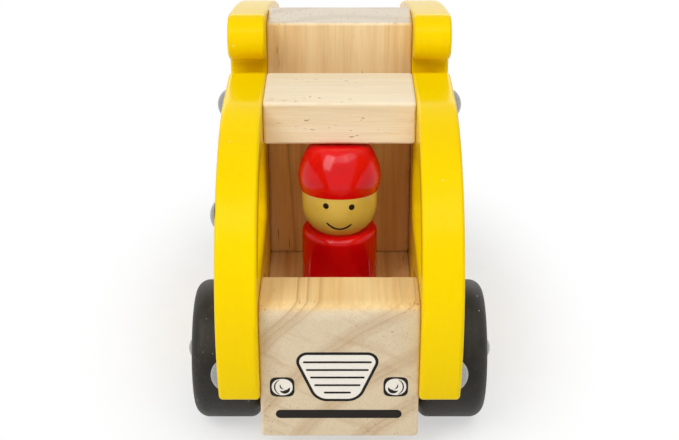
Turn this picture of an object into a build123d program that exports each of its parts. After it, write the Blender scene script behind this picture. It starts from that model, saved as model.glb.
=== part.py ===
from build123d import *
import os
from math import sqrt, radians, sin, cos, asin

# Wooden toy dump truck with a tipping bed, a peg driver and four free-spinning wheels.
# Millimetres. The truck faces -Y, +X is its left side, +Z is up and Z = 0 is the ground.
# The origin is the ground point under the middle of the whole toy.

os.makedirs("parts", exist_ok=True)

# ---------------------------------------------------------------- driving dimensions
# whole toy
overall_length = 244.0
block_width = 60.0            # every block of the chassis and the cab, along X
panel_thickness = 15.5        # cab sides and bed sides
edge_round = 1.5              # sanded edge of a block or a panel
glue_gap = 0.05               # radial room for glue round a dowel, a screw or an axle
running_fit = 0.08            # radial room of a part that turns on a pin
seat_gap = 0.4                # between the resting bed and the riser under it

# wheels and axles
wheel_diameter = 55.0
wheel_width = 26.0
tread_round_outer = 5.5
tread_round_inner = 4.0
axle_diameter = 6.0
side_play = 0.2
washer_diameter = 14.0
washer_thickness = 1.0
front_overhang = 43.5         # foremost point of the cab sides to the front axle
rear_axle_inset = 11.5        # rear end of the chassis to the rear axle

# dome caps on the axle ends and dome heads of the cab bolts
cap_diameter = 11.0
cap_flange = 0.8
cap_lip = 0.6                 # width of the flange round the dome
cap_dome_height = 2.4
cap_grip = 1.6                # length of axle inside a hub cap
bolt_head_diameter = 12.0
bolt_head_height = 3.4
bolt_shank_diameter = 4.0
bolt_length = 34.0
roof_bolt_lift = 1.5          # upper bolt above the middle of the roof block
fender_bolt_inset = 4.0       # front of the nose to the lower bolt
bolt_bottom_margin = 2.5      # bottom edge of the cab side to the rim of that bolt's head
stud_head_diameter = 10.5     # short bolt in the windscreen pillar
stud_head_height = 2.0
stud_angle = 42.5             # up the arc from level
stud_share = 0.6              # of the panel's thickness

# chassis
beam_height = 31.0
axle_lift = 2.0               # axles above the middle of the beam
rear_overhang = 37.5          # rear end of the chassis to the rearmost point of the bed sides
riser_length = 44.0
riser_height = 43.6
riser_corner_round = 10.0     # lets the tipping bed floor swing past the riser

# nose
nose_setback = 6.4            # behind the foremost point of the cab sides
nose_length = 24.6
nose_height = 57.0
hood_round = 6.0

# cab
cab_length = 113.5            # foremost point of the cab sides to their rear edge
cab_front_radius = 71.0       # one arc from the roof line to the fender
cab_rear_round = 14.0
back_block_thickness = 13.0
back_block_height = 64.9
roof_length = 35.0
roof_thickness = 17.6
roof_setback = 11.0           # behind the roof to the rear edge of the cab sides
fender_drop = 13.5            # beam top down to the bottom edge of the cab sides
arch_clearance = 2.5          # wheel to wheel arch
pillar_width = 11.0           # windscreen pillar, across the arc
sill_height = 28.0            # window sill above the cab floor
window_rear = 30.5            # rear edge of the cab sides to the window
window_head = 1.0             # window top below the roof block
window_round = 7.0
foot_round = 3.0

# bed
bed_gap = 4.5                 # rear edge of the cab sides to the bed
bed_play = 0.5                # between a bed side and the riser, on each side
front_wall_thickness = 22.5
front_wall_height = 54.7
floor_thickness = 15.6
tailgate_thickness = 17.8
tailgate_height = 31.4
tailgate_overhang = 7.0       # tailgate's rear face behind the chassis
bed_side_height = 59.5        # bottom edge to the top of the curl
curl_radius = 9.5             # curl over the cab at the top front of a bed side
curl_reach = 13.5             # curl's foremost point ahead of the front wall
curl_hollow_round = 6.0
tail_round = 14.0
tail_centre_height = 15.0     # above the bottom edge of a bed side
tail_arc = (69.0, -40.0)      # where the tail's round ends, up and down from level
top_rise = 2.8                # bulge of the top edge over its chord
top_slope = 9.66              # degrees, where the top edge leaves the curl
ear_drop = 26.5               # bottom edge of a bed side down to the bottom of its hinge ear
ear_rear = 22.5               # hinge axis to the ear's rear corner
ear_front = 17.0
ear_lean = 7.0                # the ear's rear edge leans back this much
ear_lean_share = 0.8          # over this share of the ear's height
ear_round = 3.0
ear_root_round = 9.0
side_corner_round = 4.0

# hinge
hinge_inset = 6.5             # rear end of the chassis to the hinge axis
hinge_height = 24.5           # above the beam
hinge_pin_diameter = 8.0

# joinery
dowel_diameter = 6.0
dowel_length = 22.0
floor_dowel_inset = 14.0
nose_dowel_diameter = 8.0
nose_dowel_length = 24.0
nose_dowel_drop = 6.0         # top of the beam down to a nose dowel's axis
dowel_spread = 30.0           # between the two dowels or screws of a pair, along X
screw_diameter = 4.0
screw_head_diameter = 8.0
screw_bite = 20.0             # length of a screw inside the upper block
riser_screw_shares = (0.2, 0.45)    # of the riser's length, from its front
cab_dowel_shares = (0.48, 0.74)     # of the back block's height
roof_dowel_shares = (0.17, 0.83)    # of the roof's length, from its front
wall_dowel_shares = (0.25, 0.75)    # of the bed front wall's height
gate_dowel_shares = (0.3, 0.7)      # of the tailgate's height

# driver
driver_room = 29.5            # back block to the driver's axis
hat_headroom = 1.5            # hat top below the roof block
body_diameter = 30.6
body_shoulder_round = 3.0
neck_diameter = 10.0
neck_length = 8.0
face_diameter = 30.2
face_height = 16.1            # chin to the middle of the hat's brim
jaw_height = 9.8              # chin to the top of the jaw's round
jaw_round = 13.0
crown_depth = 3.0             # the head reaches this far up into the hat
hat_brim_diameter = 30.8
hat_diameter = 33.3
hat_height = 18.9
hat_widest_share = 0.32       # of the hat's height, from the brim
hat_shoulder_share = 0.8      # of the hat's radius and of its height above the widest point
hat_flare = 0.35              # outward slope of the hat at its brim
hat_tilt = 8.0                # degrees, the hat sits back on the head
driver_pin_diameter = 8.0
driver_pin_depth = 10.0       # in the beam, and again in the driver

# ---------------------------------------------------------------- places along Y and Z
half_block = block_width / 2
bed_half = half_block + bed_play
wheel_radius = wheel_diameter / 2
front_y = -overall_length / 2
rear_y = overall_length / 2

beam_bottom = wheel_radius - beam_height / 2 - axle_lift
beam_top = beam_bottom + beam_height
nose_front = front_y + nose_setback
nose_back = nose_front + nose_length
chassis_rear = rear_y - rear_overhang
front_axle_y = front_y + front_overhang
rear_axle_y = chassis_rear - rear_axle_inset

cab_rear = front_y + cab_length
back_block_front = cab_rear - back_block_thickness
roof_bottom = beam_top + back_block_height
roof_top = roof_bottom + roof_thickness
roof_back = cab_rear - roof_setback
roof_front = roof_back - roof_length
fender_bottom = beam_top - fender_drop
arc_y = front_y + cab_front_radius
arc_z = roof_top - cab_front_radius
window_radius = cab_front_radius - pillar_width

riser_top = beam_top + riser_height
bed_bottom = riser_top + seat_gap
bed_floor_top = bed_bottom + floor_thickness
bed_front = cab_rear + bed_gap
wall_back = bed_front + front_wall_thickness
tailgate_back = chassis_rear + tailgate_overhang
tailgate_front = tailgate_back - tailgate_thickness
hinge_y = chassis_rear - hinge_inset
hinge_z = beam_top + hinge_height

washer_face = half_block + washer_thickness
wheel_inner = washer_face + side_play
wheel_outer = wheel_inner + wheel_width
cap_face = wheel_outer + side_play
cab_outer = half_block + panel_thickness
bed_outer = bed_half + panel_thickness

driver_y = back_block_front - driver_room
roof_bolt_y = (roof_front + roof_back) / 2
roof_middle_z = (roof_bottom + roof_top) / 2
roof_bolt_z = roof_middle_z + roof_bolt_lift
fender_bolt_y = nose_front + fender_bolt_inset
fender_bolt_z = fender_bottom + bolt_head_diameter / 2 + bolt_bottom_margin


# ---------------------------------------------------------------- shared shapes
def block(width, y0, y1, z0, z1, big_round=0.0, big_end=-1):
    """A sanded block centred on X = 0. big_round is for its top edge at one end along Y."""
    solid = Pos(0, (y0 + y1) / 2, (z0 + z1) / 2) * Box(width, y1 - y0, z1 - z0)
    smooth = []
    if big_round:
        top_edges = solid.edges().filter_by(Axis.X).group_by(Axis.Z)[-1].sort_by(Axis.Y)
        solid = fillet(top_edges[0 if big_end < 0 else -1], big_round)
        rolled = solid.faces().filter_by(GeomType.CYLINDER)
        smooth = rolled.edges().filter_by(Axis.X)
    return fillet([edge for edge in solid.edges() if edge not in smooth], edge_round)


def rod(diameter, start, direction, length):
    """A plain round rod from start, along direction."""
    return Plane(start, z_dir=direction) * extrude(Circle(diameter / 2), length)


def across(diameter, x0, x1, y, z):
    """A round rod along X."""
    return rod(diameter, (x0, y, z), (1, 0, 0), x1 - x0)


def panel(face, x_inner, side):
    """A sanded panel cut to a face in the YZ plane; side is +1 for left, -1 for right."""
    x0 = x_inner if side > 0 else -x_inner - panel_thickness
    board = Pos(x0, 0, 0) * extrude(Plane.YZ * face, panel_thickness)
    rims = board.edges().group_by(Axis.X)[0] + board.edges().group_by(Axis.X)[-1]
    return fillet(rims, edge_round)


def outline(*pieces):
    """A face in local (Y, Z) from lines and arcs given end to end."""
    return make_face(Curve() + list(pieces))


def save(node, *solids):
    shape = solids[0] if len(solids) == 1 else Compound(children=list(solids))
    export_step(shape, f"parts/{node}.step")
    return shape


# ---------------------------------------------------------------- round joints and fasteners
dowel_hole = dowel_diameter + 2 * glue_gap
bolt_hole = bolt_shank_diameter + 2 * glue_gap
axle_hole = axle_diameter + 2 * glue_gap
dowel_end = panel_thickness / 2               # a dowel stops half way through a panel


def side_dowel(x_face, side, y, z, diameter, extra=0.0):
    """A dowel across the joint between a panel and the block beside it."""
    x0 = x_face - (dowel_length - dowel_end) - extra
    x1 = x_face + dowel_end + extra
    return across(diameter, x0 if side > 0 else -x1, x1 if side > 0 else -x0, y, z)


def wood_screw(x, y, top, extra=0.0):
    """A countersunk screw driven up through the beam."""
    shank = rod(screw_diameter + extra, (x, y, beam_bottom), (0, 0, 1), top - beam_bottom + extra)
    sink = (screw_head_diameter - screw_diameter) / 2
    head = Pos(x, y, beam_bottom + sink / 2) * Cone(
        (screw_head_diameter + extra) / 2, (screw_diameter + extra) / 2, sink)
    return shank + head


def dome(diameter, height):
    """A shallow dome on the XY plane, bulging along +Z."""
    ball_radius = (diameter ** 2 / 4 + height ** 2) / (2 * height)
    ball = Pos(0, 0, height - ball_radius) * Sphere(ball_radius)
    return ball & (Pos(0, 0, height / 2) * Cylinder(diameter / 2 + 1, height))


def dome_bolt(side, y, z, length, head_diameter, head_height):
    """A bolt driven in from the outer face of a cab side."""
    facing = Plane((side * cab_outer, y, z), z_dir=(side, 0, 0))
    shank = Pos(0, 0, -length / 2) * Cylinder(bolt_shank_diameter / 2, length)
    return facing * (dome(head_diameter, head_height) + shank)


def hub_cap(side, y):
    """A push-on cap that grips the end of an axle."""
    facing = Plane((side * cap_face, y, wheel_radius), z_dir=(side, 0, 0))
    flange = Pos(0, 0, cap_flange / 2) * Cylinder(cap_diameter / 2, cap_flange)
    shell = flange + Pos(0, 0, cap_flange) * dome(cap_diameter - 2 * cap_lip, cap_dome_height)
    return facing * (shell - Pos(0, 0, cap_grip / 2) * Cylinder(axle_diameter / 2, cap_grip))


# ---------------------------------------------------------------- chassis
pair = (-dowel_spread / 2, dowel_spread / 2)
nose_dowel_z = beam_top - nose_dowel_drop
nose_dowel_start = nose_back - nose_dowel_length / 2


def nose_dowel(x, extra=0.0):
    start = (x, nose_dowel_start - extra, nose_dowel_z)
    return rod(nose_dowel_diameter + 2 * extra, start, (0, 1, 0), nose_dowel_length + 2 * extra)


back_block_middle = (back_block_front + cab_rear) / 2
riser_front = chassis_rear - riser_length
riser_screw_rows = [riser_front + riser_length * share for share in riser_screw_shares]
screw_top = beam_top + screw_bite

chassis_beam = block(block_width, nose_back, chassis_rear, beam_bottom, beam_top)
nose_block = block(
    block_width, nose_front, nose_back, beam_bottom, beam_bottom + nose_height, hood_round)
cab_back_block = block(block_width, back_block_front, cab_rear, beam_top, roof_bottom)
cab_roof = block(block_width, roof_front, roof_back, roof_bottom, roof_top)
riser_block = block(
    block_width, riser_front, chassis_rear, beam_top, riser_top, riser_corner_round, 1)

driver_pin_start = beam_top - driver_pin_depth

for x in pair:
    hole = nose_dowel(x, glue_gap)
    chassis_beam -= hole
    nose_block -= hole
    hole = wood_screw(x, back_block_middle, screw_top, 2 * glue_gap)
    chassis_beam -= hole
    cab_back_block -= hole
    for y in riser_screw_rows:
        hole = wood_screw(x, y, screw_top, 2 * glue_gap)
        chassis_beam -= hole
        riser_block -= hole

for y in (front_axle_y, rear_axle_y):
    chassis_beam -= across(axle_hole, -block_width, block_width, y, wheel_radius)
chassis_beam -= rod(driver_pin_diameter + 2 * glue_gap, (0, driver_y, driver_pin_start),
                    (0, 0, 1), driver_pin_depth + 1)
riser_block -= across(hinge_pin_diameter + 2 * running_fit, -block_width, block_width,
                      hinge_y, hinge_z)

# ---------------------------------------------------------------- cab sides
arch_radius = wheel_radius + arch_clearance


def reach(radius, height):
    """Half the width of a circle at a height from its centre."""
    return sqrt(radius ** 2 - height ** 2)


def cab_side_face():
    """The cab side's outline, open round the front wheel."""
    nose_tip = arc_y - reach(cab_front_radius, fender_bottom - arc_z)
    arch_half = reach(arch_radius, fender_bottom - wheel_radius)
    middle = radians(45)
    arc_middle = (
        arc_y - cab_front_radius * cos(middle), arc_z + cab_front_radius * sin(middle))
    rear_turn = cab_rear - cab_rear_round
    rear_middle = cab_rear_round * sin(middle)
    board = outline(
        Line((arc_y, roof_top), (rear_turn, roof_top)),
        ThreePointArc(
            (rear_turn, roof_top),
            (rear_turn + rear_middle, roof_top - cab_rear_round + rear_middle),
            (cab_rear, roof_top - cab_rear_round)),
        Line((cab_rear, roof_top - cab_rear_round), (cab_rear, fender_bottom)),
        Line((cab_rear, fender_bottom), (front_axle_y + arch_half, fender_bottom)),
        ThreePointArc(
            (front_axle_y + arch_half, fender_bottom),
            (front_axle_y, wheel_radius + arch_radius),
            (front_axle_y - arch_half, fender_bottom)),
        Line((front_axle_y - arch_half, fender_bottom), (nose_tip, fender_bottom)),
        ThreePointArc((nose_tip, fender_bottom), arc_middle, (arc_y, roof_top)))
    feet = board.vertices().group_by(Axis.Y)[0]
    return fillet(feet, foot_round)


def window_face():
    """The side window: an upright rear edge, a level sill and a front edge along the arc."""
    sill = beam_top + sill_height
    head = roof_bottom - window_head
    rear = cab_rear - window_rear
    middle = (sill + head) / 2
    opening = outline(
        Line((rear, head), (rear, sill)),
        Line((rear, sill), (arc_y - reach(window_radius, sill - arc_z), sill)),
        ThreePointArc(
            (arc_y - reach(window_radius, sill - arc_z), sill),
            (arc_y - reach(window_radius, middle - arc_z), middle),
            (arc_y - reach(window_radius, head - arc_z), head)),
        Line((arc_y - reach(window_radius, head - arc_z), head), (rear, head)))
    return fillet(opening.vertices(), window_round)


roof_dowel_rows = [roof_front + roof_length * share for share in roof_dowel_shares]
bolt_places = ((roof_bolt_y, roof_bolt_z), (fender_bolt_y, fender_bolt_z))
cab_dowel_heights = [beam_top + back_block_height * share for share in cab_dowel_shares]
pillar_middle = cab_front_radius - pillar_width / 2
stud_y = arc_y - pillar_middle * cos(radians(stud_angle))
stud_z = arc_z + pillar_middle * sin(radians(stud_angle))
stud_length = panel_thickness * stud_share


def cab_side(side):
    """One yellow cab side with its window and its holes."""
    board = panel(cab_side_face() - window_face(), half_block, side)
    for y, z in bolt_places:
        board -= across(bolt_hole, -cab_outer - 1, cab_outer + 1, y, z)
    for z in cab_dowel_heights:
        board -= side_dowel(half_block, side, back_block_middle, z, dowel_hole, glue_gap)
    for y in roof_dowel_rows:
        board -= side_dowel(half_block, side, y, roof_middle_z, dowel_hole, glue_gap)
    return board


cab_sides = {side: cab_side(side) for side in (1, -1)}
cab_side_dowels = []
roof_dowels = []
cab_bolts = []
for side in (1, -1):
    for z in cab_dowel_heights:
        hole = side_dowel(half_block, side, back_block_middle, z, dowel_hole, glue_gap)
        cab_back_block -= hole
        cab_side_dowels.append(
            side_dowel(half_block, side, back_block_middle, z, dowel_diameter))
    for y in roof_dowel_rows:
        cab_roof -= side_dowel(half_block, side, y, roof_middle_z, dowel_hole, glue_gap)
        roof_dowels.append(side_dowel(half_block, side, y, roof_middle_z, dowel_diameter))
    for y, z in bolt_places:
        bolt = dome_bolt(side, y, z, bolt_length, bolt_head_diameter, bolt_head_height)
        hole_start = side * (cab_outer - bolt_length - glue_gap)
        hole = rod(bolt_hole, (hole_start, y, z), (side, 0, 0), bolt_length)
        cab_roof -= hole
        nose_block -= hole
        cab_bolts.append(bolt)

stud_hole_start = -cab_outer + stud_length + glue_gap
cab_sides[-1] -= rod(bolt_hole, (stud_hole_start, stud_y, stud_z), (-1, 0, 0), stud_length + 1)
pillar_stud = dome_bolt(-1, stud_y, stud_z, stud_length, stud_head_diameter, stud_head_height)

save("chassis_beam", chassis_beam)
save("nose_block", nose_block)
save("cab_back_block", cab_back_block)
save("cab_roof", cab_roof)
save("riser_block", riser_block)
save("cab_side_left", cab_sides[1])
save("cab_side_right", cab_sides[-1])
save("cab_side_dowels", *cab_side_dowels)
save("cab_bolts", *cab_bolts)
save("pillar_stud", pillar_stud)
save("nose_dowels", *[nose_dowel(x) for x in pair])
save("roof_dowels", *roof_dowels)
save("cab_screws", *[wood_screw(x, back_block_middle, screw_top) for x in pair])
save("riser_screws", *[
    wood_screw(x, y, screw_top) for x in pair for y in riser_screw_rows])

# ---------------------------------------------------------------- tipping bed
bed_width = 2 * bed_half
bed_front_wall = block(bed_width, bed_front, wall_back, bed_bottom, bed_bottom + front_wall_height)
bed_floor = block(bed_width, wall_back, tailgate_front, bed_bottom, bed_floor_top)
tailgate = block(bed_width, tailgate_front, tailgate_back, bed_bottom, bed_bottom + tailgate_height)


def bed_side_face():
    """The bed side's outline: a curl over the cab, a bulged top, a round tail and a hinge ear."""
    curl_y = bed_front - curl_reach + curl_radius
    curl_z = bed_bottom + bed_side_height - curl_radius
    tail_y = rear_y - tail_round
    tail_z = bed_bottom + tail_centre_height
    tail_start, tail_end = [
        (tail_y + tail_round * cos(radians(angle)), tail_z + tail_round * sin(radians(angle)))
        for angle in tail_arc]
    top_start = (
        curl_y + curl_radius * sin(radians(top_slope)),
        curl_z + curl_radius * cos(radians(top_slope)))
    top_middle = (
        (top_start[0] + tail_start[0]) / 2, (top_start[1] + tail_start[1]) / 2 + top_rise)
    ear_bottom = bed_bottom - ear_drop
    ear_back = hinge_y + ear_rear
    ear_toe = hinge_y - ear_front
    bend = (ear_back + ear_lean, ear_bottom + ear_drop * ear_lean_share)
    root = (ear_toe - ear_lean, bed_bottom)
    board = outline(
        Line(top_start, (curl_y, curl_z)),
        Line((curl_y, curl_z), (bed_front, curl_z)),
        Polyline(
            (bed_front, curl_z), (bed_front, bed_bottom), root, (ear_toe, ear_bottom),
            (ear_back, ear_bottom), bend, tail_end),
        ThreePointArc(tail_end, (rear_y, tail_z), tail_start),
        ThreePointArc(tail_start, top_middle, top_start))
    board += Pos(curl_y, curl_z) * Circle(curl_radius)
    hollow = (bed_front, curl_z - reach(curl_radius, bed_front - curl_y))
    rounds = (
        (hollow, curl_hollow_round), ((bed_front, bed_bottom), side_corner_round),
        (root, ear_root_round), ((ear_toe, ear_bottom), ear_root_round),
        ((ear_back, ear_bottom), ear_round), (bend, ear_root_round))
    for place, radius in rounds:
        corner = board.vertices().sort_by_distance(place)[0]
        board = fillet(corner, radius)
    return board


floor_dowel_z = (bed_bottom + bed_floor_top) / 2
wall_dowel_y = (bed_front + wall_back) / 2
gate_dowel_y = (tailgate_front + tailgate_back) / 2
bed_dowel_places = [
    (wall_back + floor_dowel_inset, floor_dowel_z),
    (tailgate_front - floor_dowel_inset, floor_dowel_z)]
for share in wall_dowel_shares:
    bed_dowel_places.append((wall_dowel_y, bed_bottom + front_wall_height * share))
for share in gate_dowel_shares:
    bed_dowel_places.append((gate_dowel_y, bed_bottom + tailgate_height * share))

hinge_bore = across(hinge_pin_diameter, -bed_outer - 1, bed_outer + 1, hinge_y, hinge_z)
bed_sides = {side: panel(bed_side_face(), bed_half, side) - hinge_bore for side in (1, -1)}
bed_side_dowels = []
for side in (1, -1):
    for y, z in bed_dowel_places:
        hole = side_dowel(bed_half, side, y, z, dowel_hole, glue_gap)
        bed_sides[side] -= hole
        bed_front_wall -= hole
        bed_floor -= hole
        tailgate -= hole
        bed_side_dowels.append(side_dowel(bed_half, side, y, z, dowel_diameter))
hinge_pin = across(hinge_pin_diameter, -bed_outer, bed_outer, hinge_y, hinge_z)

save("bed_front_wall", bed_front_wall)
save("bed_floor", bed_floor)
save("tailgate", tailgate)
save("bed_side_left", bed_sides[1])
save("bed_side_right", bed_sides[-1])
save("bed_side_dowels", *bed_side_dowels)
save("hinge_pin", hinge_pin)


# ---------------------------------------------------------------- wheels, axles, caps, washers
def wheel(side, y):
    """A turned wheel, rounded more on its outer edge than on its inner one."""
    tyre = Cylinder(wheel_radius, wheel_width)
    rims = tyre.edges().sort_by(Axis.Z)
    tyre = fillet(rims[-1], tread_round_outer)
    tyre = fillet(tyre.edges().sort_by(Axis.Z)[0], tread_round_inner)
    tyre -= Cylinder(axle_diameter / 2 + running_fit, wheel_width + 1)
    middle = side * (wheel_inner + wheel_outer) / 2
    return Plane((middle, y, wheel_radius), z_dir=(side, 0, 0)) * tyre


def washer(side, y):
    ring = Cylinder(washer_diameter / 2, washer_thickness)
    ring -= Cylinder(axle_diameter / 2 + glue_gap, washer_thickness + 1)
    middle = side * (half_block + washer_thickness / 2)
    return Plane((middle, y, wheel_radius), z_dir=(side, 0, 0)) * ring


axle_reach = cap_face + cap_grip
for end, y in (("front", front_axle_y), ("rear", rear_axle_y)):
    save(f"{end}_axle", across(axle_diameter, -axle_reach, axle_reach, y, wheel_radius))
    save(f"{end}_wheel_left", wheel(1, y))
    save(f"{end}_wheel_right", wheel(-1, y))
    save(f"{end}_washers", washer(1, y), washer(-1, y))
    save(f"{end}_hub_caps", hub_cap(1, y), hub_cap(-1, y))


# ---------------------------------------------------------------- driver
def turned(*pieces):
    """A solid turned about the driver's upright axis, from a half outline in (radius, Z)."""
    return Pos(0, driver_y, 0) * revolve(Plane.XZ * outline(*pieces), Axis.Z)


hat_top = roof_bottom - hat_headroom
brim_z = hat_top - hat_height
head_bottom = brim_z - face_height
hat_widest_z = brim_z + hat_height * hat_widest_share
hat_shoulder_z = hat_widest_z + (hat_top - hat_widest_z) * hat_shoulder_share
face_radius = face_diameter / 2
jaw_z = head_bottom + jaw_height
jaw_centre = face_radius - jaw_round
chin_angle = asin(jaw_height / jaw_round)
body_radius = body_diameter / 2
shoulder = body_radius - body_shoulder_round
shoulder_mid = body_shoulder_round * sin(radians(45))

driver_body = turned(
    Line((0, beam_top), (body_radius, beam_top)),
    Line((body_radius, beam_top), (body_radius, head_bottom - body_shoulder_round)),
    ThreePointArc(
        (body_radius, head_bottom - body_shoulder_round),
        (shoulder + shoulder_mid, head_bottom - body_shoulder_round + shoulder_mid),
        (shoulder, head_bottom)),
    Line((shoulder, head_bottom), (0, head_bottom)),
    Line((0, head_bottom), (0, beam_top)))
driver_body = fillet(driver_body.edges().sort_by(Axis.Z)[0], edge_round / 2)
driver_body -= rod(driver_pin_diameter + 2 * running_fit, (0, driver_y, beam_top - 1),
                   (0, 0, 1), driver_pin_depth + 1 + side_play)
driver_body -= rod(neck_diameter + 2 * glue_gap, (0, driver_y, head_bottom - neck_length - glue_gap),
                   (0, 0, 1), neck_length + 1)

driver_head = turned(
    Line((0, head_bottom), (jaw_centre + jaw_round * cos(chin_angle), head_bottom)),
    ThreePointArc(
        (jaw_centre + jaw_round * cos(chin_angle), head_bottom),
        (jaw_centre + jaw_round * cos(chin_angle / 2), jaw_z - jaw_round * sin(chin_angle / 2)),
        (face_radius, jaw_z)),
    Line((face_radius, jaw_z), (face_radius, brim_z + crown_depth)),
    Line((face_radius, brim_z + crown_depth), (0, brim_z + crown_depth)),
    Line((0, brim_z + crown_depth), (0, head_bottom)))
hat = turned(
    Line((0, brim_z), (hat_brim_diameter / 2, brim_z)),
    Spline(
        (hat_brim_diameter / 2, brim_z), (hat_diameter / 2, hat_widest_z),
        (hat_diameter / 2 * hat_shoulder_share, hat_shoulder_z), (0, hat_top),
        tangents=((hat_flare, 1), (-1, 0))),
    Line((0, hat_top), (0, brim_z)))
driver_head += hat.rotate(Axis((0, driver_y, brim_z), (-1, 0, 0)), hat_tilt)
driver_head += rod(neck_diameter, (0, driver_y, head_bottom - neck_length), (0, 0, 1),
                   neck_length + edge_round)
driver_pin = rod(driver_pin_diameter, (0, driver_y, driver_pin_start), (0, 0, 1),
                 2 * driver_pin_depth)

save("driver_body", driver_body)
save("driver_head", driver_head)
save("driver_pin", driver_pin)
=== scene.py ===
# %% [markdown]
# # A wooden dump truck, dressed for its portrait
#
# The shapes of this toy come from a CAD model. This notebook gives them their finish: clear
# varnished pine, satin yellow enamel, charcoal paint on the wheels, a glossy lacquered driver and
# the black print on the nose. Each step says what the real thing is, how it could be made in
# Blender, and why it is made this way. Objects are in metres, and patterns are in millimetres.

# %% Load the fixed frame
import math

import bpy
import numpy as np
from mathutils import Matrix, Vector


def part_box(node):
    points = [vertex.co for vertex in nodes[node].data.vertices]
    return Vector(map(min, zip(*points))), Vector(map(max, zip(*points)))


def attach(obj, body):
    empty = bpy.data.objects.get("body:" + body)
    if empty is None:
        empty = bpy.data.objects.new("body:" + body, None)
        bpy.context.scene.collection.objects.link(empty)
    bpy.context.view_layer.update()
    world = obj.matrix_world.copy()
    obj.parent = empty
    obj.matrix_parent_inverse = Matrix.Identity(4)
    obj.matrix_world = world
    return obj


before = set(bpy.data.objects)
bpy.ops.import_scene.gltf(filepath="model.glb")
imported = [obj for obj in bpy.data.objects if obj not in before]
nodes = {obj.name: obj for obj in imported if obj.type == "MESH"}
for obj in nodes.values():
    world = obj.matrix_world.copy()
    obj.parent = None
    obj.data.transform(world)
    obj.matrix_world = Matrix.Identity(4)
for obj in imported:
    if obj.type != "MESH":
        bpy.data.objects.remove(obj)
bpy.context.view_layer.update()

MM = 0.001

# %% [markdown]
# ## Helpers for every material
#
# A colour on a paint card is an sRGB code, and the shader wants linear light, so one function
# turns the code. Node trees get long when every node takes four lines, so one function adds a
# node, sets it, links it and hands back its output for the next one. The other helpers are the
# steps that all finishes share: begin a material, draw soft marks of a real size, lay a tone over
# a colour where a pattern is, end the material, and put it on pieces.

# %% Colour


def srgb(code):
    """Linear colour of an sRGB hex code: c / 12.92 up to 0.04045, else ((c + 0.055) / 1.055) ** 2.4."""
    c = np.array([int(code[i:i + 2], 16) for i in (1, 3, 5)]) / 255
    return (*np.where(c <= 0.04045, c / 12.92, ((c + 0.055) / 1.055) ** 2.4).tolist(), 1.0)


print("yellow on a paint card #FAD600 is", [round(v, 3) for v in srgb("#FAD600")], "in linear light")

# %% Nodes


def add(tree, kind, *values, out=0, stops=None, sockets=None, **settings):
    """Adds one shader node. settings are the node's own choices, values fill its inputs in the order
    it shows them, and sockets fill others by name: each is a number, a hex colour or the output of
    an earlier node. stops are a colour ramp's (place, grey) pairs. Gives back output number out."""
    node = tree.nodes.new("ShaderNode" + kind)
    for key, value in settings.items():
        setattr(node, key, value)
    shown = [socket for socket in node.inputs if socket.enabled]
    named = [(node.inputs[key], value) for key, value in (sockets or {}).items()]
    for socket, value in list(zip(shown, values)) + named:
        if isinstance(value, bpy.types.NodeSocket):
            tree.links.new(value, socket)
        else:
            socket.default_value = srgb(value) if isinstance(value, str) else value
    if stops:
        ramp = node.color_ramp
        while len(ramp.elements) < len(stops):
            ramp.elements.new(0.5)
        for element, (place, grey) in zip(ramp.elements, stops):
            element.position = place
            element.color = (grey, grey, grey, 1)
    given = [socket for socket in node.outputs if socket.enabled]
    return given[out] if given else node


print("one function adds every node")

# %% Steps that all finishes share


def new_material(name):
    """An empty material, its tree, and the point on the toy in millimetres."""
    made = bpy.data.materials.new(name)
    made.use_nodes = True
    tree = made.node_tree
    tree.nodes.clear()
    where = add(tree, "TexCoord", out=3)   # Object coordinates
    return made, tree, add(tree, "VectorMath", where, (1 / MM, 1 / MM, 1 / MM), operation="MULTIPLY")


def marks(tree, point, size_mm, seed, low=0.0, high=1.0, detail=2.0, rough=0.5):
    """Soft marks of a real size: noise whose lumps are size_mm wide on each axis, taken smoothly
    from 0 where the noise is low or less to 1 where it is high or more."""
    lumps = add(tree, "VectorMath", point, size_mm, operation="DIVIDE")
    grey = add(tree, "TexNoise", lumps, seed, 1.0, detail, rough, noise_dimensions="4D")
    return add(tree, "MapRange", grey, low, high, 0.0, 1.0, interpolation_type="SMOOTHSTEP")


def over(tree, colour, tone, pattern, amount):
    """The colour with a tone laid over it: pattern times amount is how densely it covers."""
    density = add(tree, "Math", pattern, amount, operation="MULTIPLY")
    return add(tree, "Mix", density, colour, tone, data_type="RGBA")


def finish_material(tree, colour, roughness, height, depth_mm, **fixed):
    """Ends a material: height, from 0 to 1, becomes a bump of depth_mm; fixed are plain shader values."""
    bump = add(tree, "Bump", 1.0, depth_mm * MM, sockets={"Height": height})
    plain = {key.replace("_", " "): value for key, value in fixed.items()}
    shader = add(tree, "BsdfPrincipled", sockets={
        "Base Color": colour, "Roughness": roughness, "Normal": bump, **plain})
    add(tree, "OutputMaterial", shader)


def dress(names, finish):
    """Puts one finish on CAD pieces."""
    for name in names:
        nodes[name].data.materials.clear()
        nodes[name].data.materials.append(finish)


# %% [markdown]
# ## Pine
#
# The blocks are clear pine. A board shows what it is cut from: rings round the middle of the
# tree, the pith, which are stripes on the long faces and arcs on the sawn ends. An image could
# never meet at the corners, so the wood is solid here. Each block says which way its grain runs
# and where its pith was, the rings are distances from that line, and every face then shows the
# right cut by itself. A good season leaves a cluster of strong brown lines, a poor one faint
# lines.

# %% Year rings
ACROSS = {"X": (1, 2, 0), "Y": (0, 2, 1), "Z": (0, 1, 2)}   # two axes across the grain, then along
AXES = {"X": (1, 0, 0), "Y": (0, 1, 0), "Z": (0, 0, 1)}
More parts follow.
